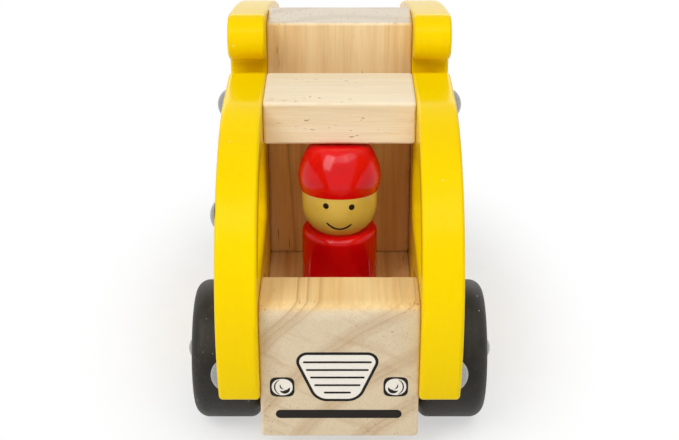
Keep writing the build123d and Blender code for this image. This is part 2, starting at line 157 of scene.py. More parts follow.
# one ring across: pale wood, then a brown line
RING_LINE = [(0.0, 0.0), (0.45, 0.05), (0.72, 0.35), (0.86, 1.0), (0.95, 0.8), (1.0, 0.0)]
BEND_MM = (38, 38, 200)   # how far apart the rings' bends are, across and along the grain
FADE_MM = (22, 22, 90)    # and the places where their lines fade


def growth(tree, flat, log, cut):
    """Ring lines and the broad clusters that they gather in. Both repeat with the distance from
    the pith, which slow noise bends a little. A line is as strong as its season and its year say,
    it fades here and there, and outside a cluster it keeps only the poor share."""
    bend = marks(tree, log, BEND_MM, cut["seed"], 0.2, 0.8)
    bend = add(tree, "Math", bend, cut["wobble_mm"], cut["shift_mm"], operation="MULTIPLY_ADD")
    radius = add(tree, "VectorMath", flat, operation="LENGTH")
    radius = add(tree, "Math", radius, bend, operation="ADD")
    turn = add(tree, "Math", radius, cut["ring_mm"], operation="DIVIDE")
    line = add(tree, "ValToRGB", add(tree, "Math", turn, operation="FRACT"), stops=RING_LINE)

    season = add(tree, "Math", radius, cut["season_mm"], operation="DIVIDE")
    season = add(tree, "Math", season, operation="FRACT")
    season = add(tree, "Math", season, 0.5, operation="SUBTRACT")
    season = add(tree, "Math", season, operation="ABSOLUTE")
    cluster = add(tree, "MapRange", season, 0.08, 0.26, 1.0, 0.0, interpolation_type="SMOOTHSTEP")
    strength = add(tree, "Math", cluster, 1 - cut["poor"], cut["poor"], operation="MULTIPLY_ADD")

    year = add(tree, "TexWhiteNoise", add(tree, "Math", turn, operation="FLOOR"), noise_dimensions="1D")
    year = add(tree, "Math", year, 0.6, 0.4, operation="MULTIPLY_ADD")
    fade = marks(tree, log, FADE_MM, cut["seed"] + 7, 0.34, 0.6, 1.0)
    fade = add(tree, "Math", fade, 0.75, 0.25, operation="MULTIPLY_ADD")
    for share in (year, fade, line):
        strength = add(tree, "Math", strength, share, operation="MULTIPLY")
    return strength, cluster


print("a ring is a line of", len(RING_LINE), "greys")

# %% [markdown]
# Wood is more than its rings. Fibres are fine noise stretched along the grain, and so are streaks
# and broad bands. Resin ducts are dark dashes on a long face and dots on a sawn end, in nests.
# Sawn ends are greyer and paler, because light sinks into open pores, and where a branch was near,
# a slanting haze crosses the rings like flames. The edges are painted paler: a painted highlight
# along every rounded edge, broken here and there.

# %% Grain, faces and edges
FIBRE_MM = (0.7, 0.7, 18)
STREAK_MM = (2.6, 2.6, 120)
BAND_MM = (11, 11, 160)
DUCT_MM, DUCT_STRETCH = 1.0, 2.4   # noise lumps of this width draw dashes of a cut's own length
NEST_MM = (17, 17, 30)
PORE_MM = (0.55, 0.55, 2)
FLAME_MM, FLAME_SLANT = (26, 4.5, 40), 25   # the slant in degrees
# the pale edges are a painted highlight: first the size of the patches that break it and its width, and the
# last colour below is its pale tone
EDGE_BREAK_MM, EDGE_MM = (6, 6, 6), 1.7
RING_BROWN, DUCT_BROWN, DUCT_TAN, EDGE_HIGHLIGHT = "#A36A34", "#7A4318", "#8A5A30", "#FBF0DA"


def grain(tree, log, cut):
    """Fibres, streaks, broad bands and resin ducts, all noise stretched along the grain."""
    seed = cut["seed"]
    fibre = marks(tree, log, FIBRE_MM, seed + 3, 0.25, 0.75, 4.0, 0.65)
    streak = marks(tree, log, STREAK_MM, seed + 11, 0.42, 0.7, 3.0)
    band = marks(tree, log, BAND_MM, seed + 12, 0.38, 0.68)
    dash_mm = (DUCT_MM, DUCT_MM, cut["duct_mm"] * DUCT_STRETCH)
    duct = marks(tree, log, dash_mm, seed + 5, 0.66, 0.72, 1.0)
    nests = marks(tree, log, NEST_MM, seed + 9, 0.47, 0.6, 1.0)
    return fibre, streak, band, add(tree, "Math", duct, nests, operation="MULTIPLY")


def long_face(tree, cut, rings, cluster, streak, band, duct):
    """Tones of a face along the grain: bands, streaks in the clusters, ring lines and ducts."""
    pale, dark = cut["face"]
    colour = over(tree, pale, dark, band, cut["band"])
    streak = add(tree, "Math", cluster, 0.5, streak, operation="MULTIPLY_ADD")
    colour = over(tree, colour, dark, streak, cut["band"])
    colour = over(tree, colour, RING_BROWN, rings, cut["stripe"])
    return over(tree, colour, DUCT_BROWN, duct, cut["ducts"])


def sawn_end(tree, cut, flat, log, rings, cluster, duct):
    """Tones of a sawn end: haze in the clusters, ring lines, flames, pores and the ends of ducts."""
    colour, dark = cut["end"]
    slant = add(tree, "VectorRotate", flat, sockets={"Angle": math.radians(FLAME_SLANT)})
    flames = marks(tree, slant, FLAME_MM, cut["seed"] + 17, 0.5, 0.72, 3.0, 0.6)
    pores = marks(tree, log, PORE_MM, cut["seed"] + 13, 0.55, 0.68, 2.0, 0.7)
    for pattern, amount in (
            (cluster, 0.3), (rings, cut["ring_ends"]), (flames, cut["flame"]), (pores, 0.3)):
        colour = over(tree, colour, dark, pattern, amount)
    return over(tree, colour, DUCT_TAN, duct, cut["ducts"])


def edges(tree, point, node):
    """1 on the edges of a block, 0 inside its faces: a face point is level with one side, an edge
    point with two, so the second smallest distance to the sides says how near the edge is."""
    low, high = (np.array(corner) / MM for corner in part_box(node))
    away = add(tree, "VectorMath", point, ((low + high) / 2).tolist(), operation="SUBTRACT")
    away = add(tree, "VectorMath", away, operation="ABSOLUTE")
    away = add(tree, "VectorMath", ((high - low) / 2).tolist(), away, operation="SUBTRACT")
    x, y, z = add(tree, "SeparateXYZ", away).node.outputs
    xy = add(tree, "Math", x, y, operation="MAXIMUM")
    yz = add(tree, "Math", y, z, operation="MAXIMUM")
    xz = add(tree, "Math", x, z, operation="MAXIMUM")
    second = add(tree, "Math", yz, xz, operation="MINIMUM")
    second = add(tree, "Math", xy, second, operation="MINIMUM")
    return add(tree, "MapRange", second, 0.2, EDGE_MM, 1.0, 0.0, interpolation_type="SMOOTHSTEP")


print("fibres are", FIBRE_MM[0], "mm wide and", FIBRE_MM[2], "mm long")

# %% The pine material
USUAL_CUT = dict(ducts=0.5, duct_mm=5.0, stripe=0.55, band=0.35, edge=0.5, wobble_mm=8.0,
                 poor=0.15, ring_ends=1.0, flame=0.0)


def pine(node, cut):
    """Clear pine for one block, from its cut. along is the way of the grain and pith the middle of
    the tree across it, ring_mm is the ring spacing, season_mm that of good seasons, which start
    shift_mm out, and wobble_mm how far the rings bend. face and end are the pale and dark tones
    of long faces and sawn ends. The others are amounts: ducts, ring lines on long faces (stripe)
    and on sawn ends (ring_ends), bands, the painted highlight on the edges (edge), lines of poor
    seasons and flames."""
    cut = {**USUAL_CUT, **cut}
    made, tree, point = new_material("clear_varnished_pine_" + node)
    parts = add(tree, "SeparateXYZ", point).node.outputs
    u, v, w = (parts[i] for i in ACROSS[cut["along"]])
    u = add(tree, "Math", u, cut["pith"][0], operation="SUBTRACT")
    v = add(tree, "Math", v, cut["pith"][1], operation="SUBTRACT")
    flat = add(tree, "CombineXYZ", u, v)
    log = add(tree, "CombineXYZ", u, v, w)
    rings, cluster = growth(tree, flat, log, cut)
    fibre, streak, band, duct = grain(tree, log, cut)

    # how squarely the grain meets the surface: 1 on a sawn end, 0 on a long face
    normal = add(tree, "TexCoord", out=1)
    sawn = add(tree, "VectorMath", normal, AXES[cut["along"]], operation="DOT_PRODUCT")
    sawn = add(tree, "Math", sawn, operation="ABSOLUTE")
    sawn = add(tree, "MapRange", sawn, 0.55, 0.92, interpolation_type="SMOOTHSTEP")
    face = long_face(tree, cut, rings, cluster, streak, band, duct)
    end = sawn_end(tree, cut, flat, log, rings, cluster, duct)
    colour = add(tree, "Mix", sawn, face, end, data_type="RGBA")
    shade = add(tree, "MapRange", fibre, 0.0, 1.0, 0.93, 1.04)
    shade = add(tree, "CombineXYZ", shade, shade, shade)
    colour = add(tree, "Mix", 1.0, colour, shade, data_type="RGBA", blend_type="MULTIPLY")

    # paler edges: a painted highlight along the rounded edges, broken in patches
    patchy = marks(tree, point, EDGE_BREAK_MM, cut["seed"] + 15, 0.3, 0.6, 3.0)
    rim = add(tree, "Math", edges(tree, point, node), patchy, operation="MULTIPLY")
    colour = over(tree, colour, EDGE_HIGHLIGHT, rim, cut["edge"])
    height = add(tree, "Math", duct, -0.8, fibre, operation="MULTIPLY_ADD")
    roughness = add(tree, "MapRange", fibre, 0.0, 1.0, 0.42, 0.55)
    finish_material(tree, colour, roughness, height, 0.05, IOR=1.5, Specular_IOR_Level=0.3)
    return made


print("a cut has", len(USUAL_CUT), "usual amounts")

# %% [markdown]
# ## Which way each block was cut
#
# The nose and the chassis beam run the length of the toy, so their ends face forward and back
# with slanting rings. The bed floor runs that way too. The riser and the cab roof run from side to
# side. The bed's front wall, its tailgate and the back of the cab stand upright, with stripes up
# the face and a sawn end on top.

# %% Give every block its own cut of pine
BLOCKS = {
    "nose_block": dict(
        along="Y", pith=(87, -68), ring_mm=2.4, season_mm=18.7, shift_mm=9.3, seed=1.0,
        face=("#F2D59C", "#DDB068"), end=("#DDCBAC", "#B58E62"),
        wobble_mm=3.0, poor=0.03, ring_ends=0.55, flame=0.35),
    # the beam's face tones are made lighter for the cab floor, which lies in shade: painted light
    "chassis_beam": dict(
        along="Y", pith=(47, 105), ring_mm=2.8, season_mm=23.8, shift_mm=10.5, seed=2.0,
        face=("#FFE0A4", "#DCA25E"), end=("#DFCBA6", "#B08656"), ducts=0.6,
        wobble_mm=4.0, poor=0.05, ring_ends=0.6, flame=0.2),
    "cab_roof": dict(
        along="X", pith=(-60, 18), ring_mm=3.2, season_mm=14.0, shift_mm=0.0, seed=3.0,
        face=("#F6E6C8", "#ECD4AA"), end=("#E2D0B0", "#BF9C72"), ducts=0.8,
        duct_mm=1.5, stripe=0.1, edge=0.35, flame=0.15),
    # the back of the cab stands in shade, so its face tones are made lighter: painted light
    "cab_back_block": dict(
        along="Z", pith=(25, 60), ring_mm=3.0, season_mm=13.0, shift_mm=0.0, seed=4.0,
        face=("#FFD894", "#E09C50"), end=("#DCC7A2", "#B08656"), ducts=1.0),
    "riser_block": dict(
        along="X", pith=(70, -202), ring_mm=3.4, season_mm=15.2, shift_mm=-1.6, seed=5.0,
        face=("#E6C690", "#C2945A"), end=("#DCC7A2", "#B08656"),
        wobble_mm=5.0, stripe=0.35, band=0.7),
    "bed_front_wall": dict(
        along="Z", pith=(10, -70), ring_mm=3.1, season_mm=17.0, shift_mm=0.0, seed=6.0,
        face=("#FADFAE", "#DFAF6C"), end=("#D6C9B4", "#BBA88E"), ducts=0.9),
    "bed_floor": dict(
        along="Y", pith=(10, 30), ring_mm=3.2, season_mm=15.0, shift_mm=0.0, seed=7.0,
        face=("#E8C68C", "#C49253"), end=("#E2D0B0", "#BF9C72")),
    "tailgate": dict(
        along="Z", pith=(-200, 90), ring_mm=2.6, season_mm=17.0, shift_mm=0.0, seed=8.0,
        face=("#E9D1A6", "#D2A66E"), end=("#EFE3CE", "#CDB593"), ducts=0.3,
        stripe=0.15, band=0.6),
}
for name, cut in BLOCKS.items():
    dress([name], pine(name, cut))
    print(name, "grain along", cut["along"])

# %% [markdown]
# ## Painted parts
#
# The cab sides and the bed sides are plywood or solid wood under a satin enamel, sprayed or
# dipped: an even colour, a soft gloss and a skin that is not quite flat. Paint on wood shows
# three things that a flat colour lacks: the tone drifts a little over a hand's width, the surface
# has a fine orange peel, and the grain telegraphs through as faint lines. A few pale dents are
# where a corner was knocked.

# %% Satin yellow enamel
YELLOW = ("#FAD600", "#F4CA00")
DRIFT_MM, PEEL_MM, DENT_MM = (50, 50, 50), (1.8, 1.8, 1.8), (9, 9, 9)
TELEGRAPH_MM = (2, 2, 33)


def enamel(name, tones, roughness, skin_mm, seed, **fixed):
    """Enamel on wood: its base and deep tone, and skin_mm, how deep peel, grain and dents are."""
    made, tree, point = new_material(name)
    base, deep = tones
    drift = marks(tree, point, DRIFT_MM, seed, 0.3, 0.7)
    lines = marks(tree, point, TELEGRAPH_MM, seed + 2, 0.4, 0.8, 3.0, 0.6)
    peel = marks(tree, point, PEEL_MM, seed + 4, 0.2, 0.8)
    cells = add(tree, "VectorMath", point, DENT_MM, operation="DIVIDE")
    dent = add(tree, "TexVoronoi", cells, 1.0)
    dent = add(tree, "MapRange", dent, 0.03, 0.07, 1.0, 0.0, interpolation_type="SMOOTHSTEP")
    colour = over(tree, base, deep, drift, 0.5)
    colour = over(tree, colour, deep, lines, 0.3)
    colour = over(tree, colour, "#FFF2A0", dent, 0.4)
    height = add(tree, "Math", lines, 0.5, peel, operation="MULTIPLY_ADD")
    height = add(tree, "Math", height, dent, operation="SUBTRACT")
    rough = add(tree, "MapRange", peel, 0.0, 1.0, roughness - 0.04, roughness + 0.04)
    finish_material(tree, colour, rough, height, skin_mm, **fixed)
    return made


yellow = enamel("satin_yellow_enamel", YELLOW, 0.2, 0.02, 21.0, IOR=1.5, Specular_IOR_Level=0.06)
dress(["cab_side_left", "cab_side_right", "bed_side_left", "bed_side_right"], yellow)
print("enamel on the four side panels")

# %% [markdown]
# The wheels wear a flatter charcoal paint. It picks up what a floor gives it: pale scuffs round
# the tread and specks of dust. A Voronoi pattern has one point in each cell, so a small disc at
# each point is a speck, and the cell's own colour is a lot that decides whether it shows.

# %% Charcoal wheel paint
made, tree, point = new_material("matt_charcoal_wheel_paint")
cloud = marks(tree, point, (8, 8, 8), 31.0, 0.3, 0.7, 3.0, 0.6)
scuff = marks(tree, point, (0.6, 2, 2), 32.0, 0.55, 0.75, 4.0, 0.7)
fine = marks(tree, point, (0.4, 0.4, 0.4), 33.0, 0.2, 0.8, 3.0, 0.7)
speck = add(tree, "TexVoronoi", add(tree, "VectorMath", point, (3.2, 3.2, 3.2), operation="DIVIDE"), 1.0)
lot = add(tree, "SeparateColor", speck.node.outputs["Color"])
lot = add(tree, "MapRange", lot, 0.62, 0.95)
speck = add(tree, "MapRange", speck, 0.06, 0.13, 1.0, 0.0, interpolation_type="SMOOTHSTEP")
speck = add(tree, "Math", speck, lot, operation="MULTIPLY")
colour = add(tree, "Mix", cloud, "#25221D", "#322E29", data_type="RGBA")
colour = over(tree, colour, "#8A857C", add(tree, "Math", scuff, cloud, operation="MULTIPLY"), 0.5)
colour = add(tree, "Mix", speck, colour, "#C9C6BE", data_type="RGBA")
height = add(tree, "Math", speck, 0.6, fine, operation="MULTIPLY_ADD")
rough = add(tree, "MapRange", cloud, 0.0, 1.0, 0.42, 0.55)
finish_material(tree, colour, rough, height, 0.04, IOR=1.48, Specular_IOR_Level=0.25)
dress(["front_wheel_left", "front_wheel_right", "rear_wheel_left", "rear_wheel_right"], made)
print("charcoal paint on four wheels")

# %% [markdown]
# ## The driver's lacquer
#
# The peg driver is one turned head and one turned body. The body and the cap are dipped in red
# lacquer, the face in a mustard skin tone, and the border between them is the line where the dip
# stopped, just under the brim. The head was held a little tilted, so the border is a tilted
# plane, and one material draws both colours with the height above it. A clear coat gives the
# hard, wet-looking gloss.

# %% Red lacquer and the painted head
body_low, body_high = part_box("driver_body")
AXIS_Y = (body_low.y + body_high.y) / 2
CHIN_MM = body_high.z / MM
BRIM_MM, CAP_TILT = CHIN_MM + 15.8, math.radians(8)   # the border on the head's axis, and its tilt
RED = ("#E0040A", "#CC0206")
FACE = ("#E2C25A", "#D8B54C")


def lacquer(name, lower, upper, seed, roughness=0.2):
    """Glossy lacquer on turned wood: the lower pair of tones under the tilted border, the upper
    pair above it. A point is above where z cos t + (y - axis) sin t is more than the border's."""
    made, tree, point = new_material(name)
    up = (0, math.sin(CAP_TILT), math.cos(CAP_TILT))
    level = add(tree, "VectorMath", point, up, operation="DOT_PRODUCT")
    border = AXIS_Y / MM * up[1] + BRIM_MM * up[2]
    above = add(tree, "MapRange", level, border - 0.12, border + 0.12, interpolation_type="SMOOTHSTEP")
    drift = marks(tree, point, (16, 16, 16), seed, 0.3, 0.7)
    ripple = marks(tree, point, (7, 7, 7), seed + 1, 0.2, 0.8, 1.0)
    low_tone = add(tree, "Mix", drift, *lower, data_type="RGBA")
    high_tone = add(tree, "Mix", drift, *upper, data_type="RGBA")
    colour = add(tree, "Mix", above, low_tone, high_tone, data_type="RGBA")
    rough = add(tree, "MapRange", ripple, 0.0, 1.0, roughness - 0.03, roughness + 0.03)
    finish_material(tree, colour, rough, ripple, 0.1, IOR=1.5, Specular_IOR_Level=0.1,
                    Coat_Weight=0.32, Coat_Roughness=0.05)
    return made


dress(["driver_body"], lacquer("red_dip_lacquer", RED, RED, 41.0))
dress(["driver_head"], lacquer("face_and_cap_lacquer", FACE, RED, 43.0))
print("cap starts", round(BRIM_MM, 1), "mm above the ground on the head's axis")

# %% [markdown]
# ## Metal and hidden wood
#
# The axles end in pressed steel caps, and dome-headed bolts hold the cab sides. Both are bright
# plated steel: a metal shader with a middle grey, kept a little rough and slightly wiped so that
# it does not become a mirror. The axles, washers and screws are duller zinc. The dowels and the
# hinge pin are beech, with short dark flecks.

# %% Plated steel and beech
WIPE_MM = (0.35, 2.5, 0.35)
FLECK_MM, FLECK_LENGTH_MM = 0.55, 6.0


def steel(name, tint, roughness, seed):
    """Plated steel: metallic, with faint wiping marks in its tint, its roughness and its height."""
    made, tree, point = new_material(name)
    wipe = marks(tree, point, WIPE_MM, seed, 0.3, 0.7, 3.0, 0.6)
    tone = add(tree, "Mix", wipe, *tint, data_type="RGBA")
    rough = add(tree, "MapRange", wipe, 0.0, 1.0, roughness - 0.05, roughness + 0.08)
    finish_material(tree, tone, rough, wipe, 0.01, Metallic=1.0)
    return made


def beech(name, along):
    """Beech dowel: even pinkish tan with short dark flecks along the grain."""
    made, tree, point = new_material(name)
    size = [FLECK_LENGTH_MM if axis == along else FLECK_MM for axis in "XYZ"]
    fleck = marks(tree, point, size, 51.0, 0.45, 0.7, 3.0, 0.6)
    colour = add(tree, "Mix", fleck, "#DDB98C", "#B08250", data_type="RGBA")
    rough = add(tree, "MapRange", fleck, 0.0, 1.0, 0.5, 0.6)
    finish_material(tree, colour, rough, fleck, 0.03, IOR=1.5)
    return made


dress(["cab_bolts", "pillar_stud", "front_hub_caps", "rear_hub_caps"],
      steel("bright_plated_steel", ("#8E8D8A", "#ABAAA7"), 0.12, 61.0))
dress(["front_axle", "rear_axle", "front_washers", "rear_washers", "cab_screws", "riser_screws"],
      steel("zinc_plated_steel", ("#A4A8AC", "#BCBFC2"), 0.38, 62.0))
dress(["hinge_pin", "cab_side_dowels", "bed_side_dowels", "roof_dowels"], beech("beech_cross_dowel", "X"))
dress(["nose_dowels"], beech("beech_nose_dowel", "Y"))
dress(["driver_pin"], beech("beech_driver_pin", "Z"))
print("every CAD piece is dressed:", all(node.data.materials for node in nodes.values()))

# %% [markdown]
# ## The print on the nose
#
# A radiator grille, two headlamps and a bumper are screen printed in near-black and white ink.
# Ink could be a pattern in the wood's material, but as thin separate pieces it keeps crisp edges,
# is easy to repaint, and stays in the exported meshes. Each piece is an outline on the nose's
# front face: a closed row of points in X and Z, with a front, a back and a rim. Coats lie on each
# other, so a white field stands one coat above the black under it.

# %% Ink
nose_low, nose_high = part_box("nose_block")
NOSE_FRONT = nose_low.y
NOSE_BOTTOM_MM = nose_low.z / MM
LAYER, SUNK = 0.06 * MM, 0.15 * MM   # one coat of ink, and how deep its back lies in the wood


def ink(name, tone, patchy, seed):
    """Screen ink on wood: one tone, slightly worn where the fibres stand up."""
    made, tree, point = new_material(name)
    fibre = marks(tree, point, (0.4, 5, 0.4), seed, 0.5, 0.85, 3.0, 0.7)
    colour = over(tree, tone, patchy, fibre, 0.6)
    rough = add(tree, "MapRange", fibre, 0.0, 1.0, 0.42, 0.55)
    finish_material(tree, colour, rough, fibre, 0.02, IOR=1.5, Specular_IOR_Level=0.2)
    return made


black_ink = ink("near_black_screen_ink", "#1C1612", "#3E342C", 71.0)
white_ink = ink("white_screen_ink", "#F0EAE0", "#DDD0BA", 72.0)
print("a coat of ink is", LAYER / MM, "mm thick")

# %% Flat shapes from outlines


def add_piece(name, points, faces, body, finish, slot, smooth=False):
    """A mesh object from arrays, riding on a body."""
    mesh = bpy.data.meshes.new(name)
    mesh.from_pydata(np.asarray(points).tolist(), [], faces)
    mesh.update()
    if smooth:
        mesh.shade_smooth()
    mesh.materials.append(finish)
    piece = bpy.data.objects.new(name, mesh)
    bpy.context.scene.collection.objects.link(piece)
    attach(piece, body)
    return piece


def plates(outlines, coats):
    """Flat plates on the nose from outlines in millimetres, anticlockwise seen from the front:
    each outline twice, in front and behind, two faces and a rim of quads."""
    points, faces, start = [], [], 0
    for outline in outlines:
        n = len(outline)
        ring = np.arange(n)
        after = (ring + 1) % n
        for y in (NOSE_FRONT - coats * LAYER, NOSE_FRONT + SUNK):
            points.append(np.column_stack([outline[:, 0] * MM, np.full(n, y), outline[:, 1] * MM]))
        faces.append((start + ring).tolist())
        faces.append((start + n + ring[::-1]).tolist())
        rim = np.column_stack([after, ring, n + ring, n + after])
        faces += (start + rim).tolist()
        start += 2 * n
    return np.vstack(points), faces


def on_nose(name, outlines, coats, finish):
    """A printed piece on the nose, which stands so many coats of ink high."""
    add_piece(name, *plates(outlines, coats), "chassis", finish, "pine")


print("the nose's front face is at Y =", round(NOSE_FRONT / MM, 1), "mm")

# %% [markdown]
# The print needs four kinds of outline: a polygon with round corners for the grille and the bars,
# a squircle, between a circle and a square, for the lamps, a crescent for a brush stroke, and an
# outline that is moved inwards, which turns a black shape and its white field into a line.

# %% Outlines


def rounded(corners, radii, steps=10):
    """An outline whose corners are arcs: the arc's centre lies on the corner's bisector, at
    radius / sin(half the corner's angle), and the arc turns from one side's normal to the next's."""
    corners = np.asarray(corners, float)
    out = []
    for i, (corner, radius) in enumerate(zip(corners, radii)):
        before = corners[i - 1] - corner
        after = corners[(i + 1) % len(corners)] - corner
        before, after = before / np.linalg.norm(before), after / np.linalg.norm(after)
        half = math.acos(np.clip(before @ after, -1, 1)) / 2
        bisector = (before + after) / np.linalg.norm(before + after)
        centre = corner + bisector * radius / math.sin(half)
        start = corner + before * radius / math.tan(half) - centre
        end = corner + after * radius / math.tan(half) - centre
        first = math.atan2(start[1], start[0])
        sweep = (math.atan2(end[1], end[0]) - first + math.pi) % (2 * math.pi) - math.pi
        angle = first + sweep * np.linspace(0, 1, steps)
        out.append(centre + radius * np.column_stack([np.cos(angle), np.sin(angle)]))
    return np.vstack(out)


def shrunk(outline, by):
    """The outline moved inwards: each point goes against the normal of its neighbours' direction."""
    along = np.roll(outline, -1, 0) - np.roll(outline, 1, 0)
    normal = np.column_stack([along[:, 1], -along[:, 0]])
    return outline - by * normal / np.linalg.norm(normal, axis=1, keepdims=True)


def squircle(x, z, half_x, half_z, power=2.0, steps=72):
    """(x + a |cos t|^(2/power) sign, z + b |sin t|^(2/power) sign): a circle at power 2, squarer above."""
    t = np.linspace(0, 2 * np.pi, steps, endpoint=False)
    c, s = np.cos(t), np.sin(t)
    return np.column_stack([
        x + half_x * np.sign(c) * np.abs(c) ** (2 / power),
        z + half_z * np.sign(s) * np.abs(s) ** (2 / power)])


def bar(x, z, length, height):
    """A bar with round ends, a hair short of half circles so that no side has length 0."""
    left, right, low, high = x - length / 2, x + length / 2, z - height / 2, z + height / 2
    corners = [(left, low), (right, low), (right, high), (left, high)]
    return rounded(corners, [0.999 * height / 2] * 4)


def crescent(x, z, radius, start, end, thick, side, steps=24):
    """A brush stroke on an arc from start to end degrees, thick * sin(pi s) ^ 0.6 wide at share s,
    drawn inwards from the radius. side -1 is its mirror image."""
    s = np.linspace(0, 1, steps)
    angle = np.radians(start + (end - start) * s)
    inner = radius - thick * np.clip(np.sin(np.pi * s), 0.02, 1) ** 0.6
    ray = np.column_stack([np.cos(angle), np.sin(angle)])
    loop = np.vstack([ray * radius, (ray * inner[:, None])[::-1]]) * (side, 1) + (x, z)
    return loop if side > 0 else loop[::-1]


print("a crescent has", len(crescent(0, 0, 1, 0, 90, 0.1, 1)), "points")

# %% Grille and bumper
PRINT_X = -0.8   # the print sits a little to the truck's right
GRILLE_LOW, GRILLE_HIGH = NOSE_BOTTOM_MM + 16.9, NOSE_BOTTOM_MM + 37.4
GRILLE_HALF_LOW, GRILLE_HALF_HIGH = 7.9, 16.7
GRILLE_LINE_OUT, GRILLE_LINE_IN = 0.55, 0.6   # the black line reaches this far out and in
BAR_THICK = 0.8
BARS = ((33.7, 25.7), (30.3, 23.5), (27.0, 20.5), (23.6, 17.4), (20.3, 10.2))   # height and length
BUMPER = dict(x=-0.3, z=NOSE_BOTTOM_MM + 10.6, length=47.9, height=3.7)

grille = rounded(
    [(PRINT_X - GRILLE_HALF_LOW, GRILLE_LOW), (PRINT_X + GRILLE_HALF_LOW, GRILLE_LOW),
     (PRINT_X + GRILLE_HALF_HIGH, GRILLE_HIGH), (PRINT_X - GRILLE_HALF_HIGH, GRILLE_HIGH)],
    [6.4, 6.4, 3.6, 3.6])
bars = [bar(PRINT_X, NOSE_BOTTOM_MM + height, length, BAR_THICK) for height, length in BARS]
on_nose("grille_outline", [shrunk(grille, -GRILLE_LINE_OUT)], 1, black_ink)
on_nose("grille_field", [shrunk(grille, GRILLE_LINE_IN)], 2, white_ink)
on_nose("grille_bars", bars, 3, black_ink)
on_nose("bumper_bar", [bar(**BUMPER)], 1, black_ink)
print("grille with", len(bars), "bars")

# %% [markdown]
# The headlamps are rounded black squares with a white lens. The lens has a thin circle line near
# its inner rim, and a bowl-shaped shadow with a fine tick above it. All three are brush strokes
# on an arc, thick in the middle and thin at the ends. The second lamp is the first one's mirror image.

# %% Headlamps
LAMPS = ((-21.6, NOSE_BOTTOM_MM + 22.7, 1), (21.2, NOSE_BOTTOM_MM + 22.8, -1))   # X, Z and side
# a stroke's place towards the middle and up, its radius, its start and end, and its thickness
STROKES = ((0.5, 0.0, 3.6, 112, 248, 0.5), (0.95, -0.85, 2.0, 205, 380, 1.5), (0.55, 0.5, 1.5, 150, 265, 0.5))

frames = [squircle(x, z, 4.65, 4.3, 4.0) for x, z, side in LAMPS]
lenses = [squircle(x, z, 3.95, 3.6, 2.2) for x, z, side in LAMPS]
strokes = [crescent(x + inward * side, z + up, *arc, side)
           for x, z, side in LAMPS for inward, up, *arc in STROKES]
on_nose("headlamp_frames", frames, 1, black_ink)
on_nose("headlamp_lenses", lenses, 2, white_ink)
on_nose("headlamp_strokes", strokes, 3, black_ink)
print(len(LAMPS), "headlamps with", len(strokes), "brush strokes")

# %% [markdown]
# ## The driver's face
#
# Two dots and a smile, dropped on with a brush while the head still turned on the lathe. They
# follow the head, so they are worked out in two flat coordinates on it, the arc length round
# the head and the height, and then wrapped: the head's radius at that height comes from
# the front of the turned piece itself. The dots are low domes, because a drop of lacquer stands up.

# %% Wrap points on the head
head_points = np.array([v.co for v in nodes["driver_head"].data.vertices])
head_radius = np.hypot(head_points[:, 0], head_points[:, 1] - AXIS_Y)
# the front of the head without the neck
front = (head_points[:, 1] < AXIS_Y - 0.6 * head_radius) & (head_radius > 9 * MM)
order = np.argsort(head_points[front, 2])
PROFILE_Z, PROFILE_R = head_points[front, 2][order], head_radius[front][order]


def on_head(across_mm, height_mm, lift_mm):
    """Radius R(z) from the head's own profile; the angle is the arc length over R; the point is
    (R sin a, axis - R cos a, z), lifted along R."""
    z = height_mm * MM
    r = np.interp(z, PROFILE_Z, PROFILE_R)
    angle = across_mm * MM / r
    r = r + lift_mm * MM
    return np.column_stack([r * np.sin(angle), AXIS_Y - r * np.cos(angle), z])


print("the head's radius is", round(float(PROFILE_R.max()) / MM, 1), "mm")

# %% Drops and brush lines
SUNK_DROP = 0.02   # a drop's rim lies this far in the head
DROP_ROOT = 0.3    # and its flat back this far


def drop(centre_x, centre_z, radius, rise, rings=6, steps=32):
    """A low dome: rings of a disc lifted by rise * (1 - (r / radius)^2), closed by a flat back."""
    share = np.linspace(1, 0, rings + 1)[:-1]
    t = np.linspace(0, 2 * np.pi, steps, endpoint=False)
    r, a = np.meshgrid(radius * share, t, indexing="ij")
    lift = rise * (1 - (r / radius) ** 2) - SUNK_DROP
    grid = on_head((centre_x + r * np.cos(a)).ravel(), (centre_z + r * np.sin(a)).ravel(), lift.ravel())
    top = on_head(np.array([centre_x]), np.array([centre_z]), np.array([rise - SUNK_DROP]))
    base = on_head(centre_x + radius * np.cos(t), centre_z + radius * np.sin(t), np.full(steps, -DROP_ROOT))
    points = np.vstack([grid, top, base])
    ring = np.arange(steps)
    after = (ring + 1) % steps
    quad = np.column_stack([ring, after, steps + after, steps + ring])
    faces = [row for k in range(rings - 1) for row in (k * steps + quad).tolist()]
    last, tip, under = (rings - 1) * steps, rings * steps, rings * steps + 1
    faces += np.column_stack([last + ring, last + after, np.full(steps, tip)]).tolist()
    faces += np.column_stack([under + ring, under + after, after, ring]).tolist()
    faces.append((under + ring[::-1]).tolist())
    return points, faces


def brush_line(x, z, width, lift, around=8):
    """A line through points on the head, swept with an oval section that thins at the ends by
    (1 - (0.97 s)^6)^0.5, where s goes from -1 to 1 along it."""
    steps = len(x)
    s = np.linspace(-1, 1, steps)
    along = np.column_stack([np.gradient(x), np.gradient(z)])
    along /= np.linalg.norm(along, axis=1, keepdims=True)
    thick = width / 2 * np.sqrt(np.clip(1 - (0.97 * s) ** 6, 0.02, 1))
    t = np.linspace(0, 2 * np.pi, around, endpoint=False)
    px = x[:, None] - along[:, 1:] * thick[:, None] * np.cos(t)
    pz = z[:, None] + along[:, :1] * thick[:, None] * np.cos(t)
    points = on_head(px.ravel(), pz.ravel(), np.tile(lift * np.sin(t), steps))
    ring = np.arange(around)
    after = (ring + 1) % around
    quad = np.column_stack([ring, around + ring, around + after, after])
    faces = [row for k in range(steps - 1) for row in (k * around + quad).tolist()]
    faces += [ring.tolist(), ((steps - 1) * around + ring[::-1]).tolist()]
    return points, faces


print("a drop has", len(drop(0, CHIN_MM + 10, 1, 0.1)[0]), "points")

